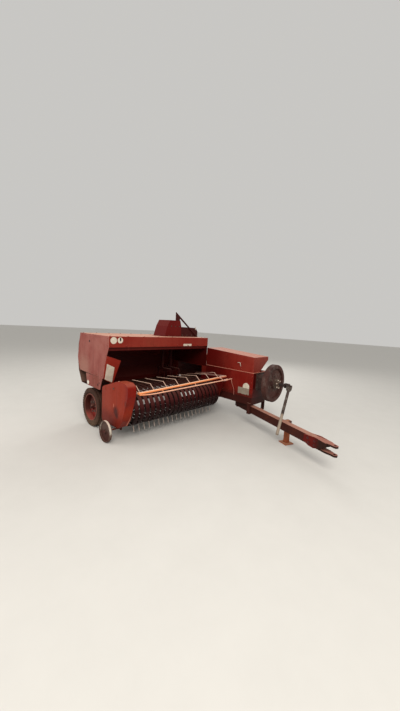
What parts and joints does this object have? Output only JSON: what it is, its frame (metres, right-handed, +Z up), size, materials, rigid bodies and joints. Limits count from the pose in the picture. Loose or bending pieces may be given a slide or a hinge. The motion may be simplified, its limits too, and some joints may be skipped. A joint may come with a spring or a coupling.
{
  "type": "square baler",
  "caption": "Pulled square baler with a side pickup under a curved hood, a long bale chamber with a chute, a flywheel, a swinging drawbar on a stand and two road wheels",
  "frame": {"origin": "on the ground, under the middle of the bounding box", "axes": "+X to the machine's left, +Y to the rear (the chute), +Z up; the pickup and the hitch face -Y"},
  "size_m": [2.9, 5.48, 1.91],
  "materials": {
    "dark_red_frame": "worn dark red paint with rust",
    "chamber_red": "dull dark red paint, polished by the crop",
    "housing_red": "faded red paint",
    "hood_red": "faded, chalky red paint",
    "panel_pink": "chalky, sun-bleached red paint",
    "bright_red": "red paint",
    "shield_orange": "orange-red paint with a rusty patch",
    "windguard_orange": "orange paint",
    "pickup_red": "dark red paint with wear and rust",
    "packer_red": "dark red paint",
    "rim_red": "red paint",
    "rusty_iron": "rusty brown",
    "bare_steel": "steel worn bright and rusty",
    "pale_metal": "pale paint",
    "rubber": "weathered rubber",
    "lens": "white reflector"
  },
  "bodies": {
    "baler": {"main_frame": "dark_red_frame", "bale_chamber": "chamber_red", "plunger_housing": "housing_red", "plunger": "rusty_iron", "feeder_floor": "chamber_red", "feeder_rear_wall": "chamber_red", "feeder_hood": "hood_red", "end_panel": "panel_pink", "lower_end_panel": "panel_pink", "reflector": "lens", "wing_plate": "bright_red", "packer_cover": "packer_red", "packer_drive": "packer_red", "packer_forks": "bare_steel", "knotter_stand": "dark_red_frame", "knotters": "rusty_iron", "twine_box": "housing_red", "tension_frame": "dark_red_frame", "tension_springs": "bare_steel", "gearbox": "rusty_iron", "input_shaft": "rusty_iron"},
    "cover": {"housing_cover": "housing_red"},
    "knot_cover": {"knotter_cover": "housing_red"},
    "meter": {"metering_wheel": "bare_steel"},
    "needles": {"needle_frame": "dark_red_frame"},
    "lid": {"twine_box_lid": "housing_red"},
    "chute": {"bale_chute": "chamber_red"},
    "fly": {"flywheel": "rusty_iron", "slip_clutch": "rusty_iron"},
    "shaft": {"hanging_shaft": "rusty_iron"},
    "bar": {"drawbar": "pickup_red", "hitch_jaw": "pickup_red"},
    "stand": {"stand_post": "windguard_orange"},
    "right_wheel": {"right_tyre": "rubber", "right_rim": "rim_red"},
    "left_wheel": {"left_tyre": "rubber", "left_rim": "rim_red"},
    "pickup": {"pickup_frame": "pickup_red", "strippers": "chamber_red", "pickup_shield": "shield_orange"},
    "reel": {"pickup_reel": "bare_steel"},
    "gauge": {"gauge_wheel": "pale_metal"},
    "guard": {"windguard": "windguard_orange"}
  },
  "joints": [
    {"name": "cover_open", "type": "hinge", "parent": "baler", "child": "cover", "pos_m": [1.219, -0.996, 0.93], "axis": [0, 1, 0], "range_deg": [0, 95]},
    {"name": "knotter_cover_open", "type": "hinge", "parent": "baler", "child": "knot_cover", "pos_m": [0.98, 1.34239, 1.2], "axis": [-1, 0, 0], "range_deg": [0, 95]},
    {"name": "metering_wheel_spin", "type": "hinge", "parent": "baler", "child": "meter", "pos_m": [0.98, 1.54, 1.02], "axis": [1, 0, 0], "continuous": true},
    {"name": "needle_swing", "type": "hinge", "parent": "baler", "child": "needles", "pos_m": [0.98, 1.5, 0.71], "axis": [-1, 0, 0], "range_deg": [0, 66]},
    {"name": "twine_lid_open", "type": "hinge", "parent": "baler", "child": "lid", "pos_m": [1.439, 0.062, 1.06], "axis": [0, 1, 0], "range_deg": [0, 100]},
    {"name": "chute_fold", "type": "hinge", "parent": "baler", "child": "chute", "pos_m": [0.98, 1.986, 0.476], "axis": [1, 0, 0], "range_deg": [0, 90]},
    {"name": "flywheel_spin", "type": "hinge", "parent": "baler", "child": "fly", "pos_m": [1, -1.468, 0.775], "axis": [0, 1, 0], "continuous": true},
    {"name": "shaft_lift", "type": "hinge", "parent": "baler", "child": "shaft", "pos_m": [1, -1.72, 0.775], "axis": [-0.5299, 0, 0.848], "range_deg": [0, 75]},
    {"name": "drawbar_swing", "type": "hinge", "parent": "baler", "child": "bar", "pos_m": [0.96, -0.76, 0.23], "axis": [0, 0, 1], "range_deg": [0, 25]},
    {"name": "stand_slide", "type": "slide", "parent": "bar", "child": "stand", "axis": [0, 0, 1], "range_m": [0, 0.2]},
    {"name": "right_wheel_spin", "type": "hinge", "parent": "baler", "child": "right_wheel", "pos_m": [-1.346, 0.442, 0.306], "axis": [1, 0, 0], "continuous": true},
    {"name": "left_wheel_spin", "type": "hinge", "parent": "baler", "child": "left_wheel", "pos_m": [1.26, 0.442, 0.33], "axis": [1, 0, 0], "continuous": true},
    {"name": "pickup_lift", "type": "hinge", "parent": "baler", "child": "pickup", "pos_m": [0.98, 0.07, 0.48], "axis": [-1, 0, 0], "range_deg": [0, 15]},
    {"name": "reel_spin", "type": "hinge", "parent": "pickup", "child": "reel", "pos_m": [-1.205, -0.33, 0.43], "axis": [1, 0, 0], "continuous": true},
    {"name": "gauge_wheel_spin", "type": "hinge", "parent": "pickup", "child": "gauge", "pos_m": [-1.45, -0.25, 0.15], "axis": [1, 0, 0], "continuous": true},
    {"name": "windguard_lift", "type": "hinge", "parent": "pickup", "child": "guard", "pos_m": [0.98, -0.09, 0.76], "axis": [-1, 0, 0], "range_deg": [0, 30]}
  ]
}
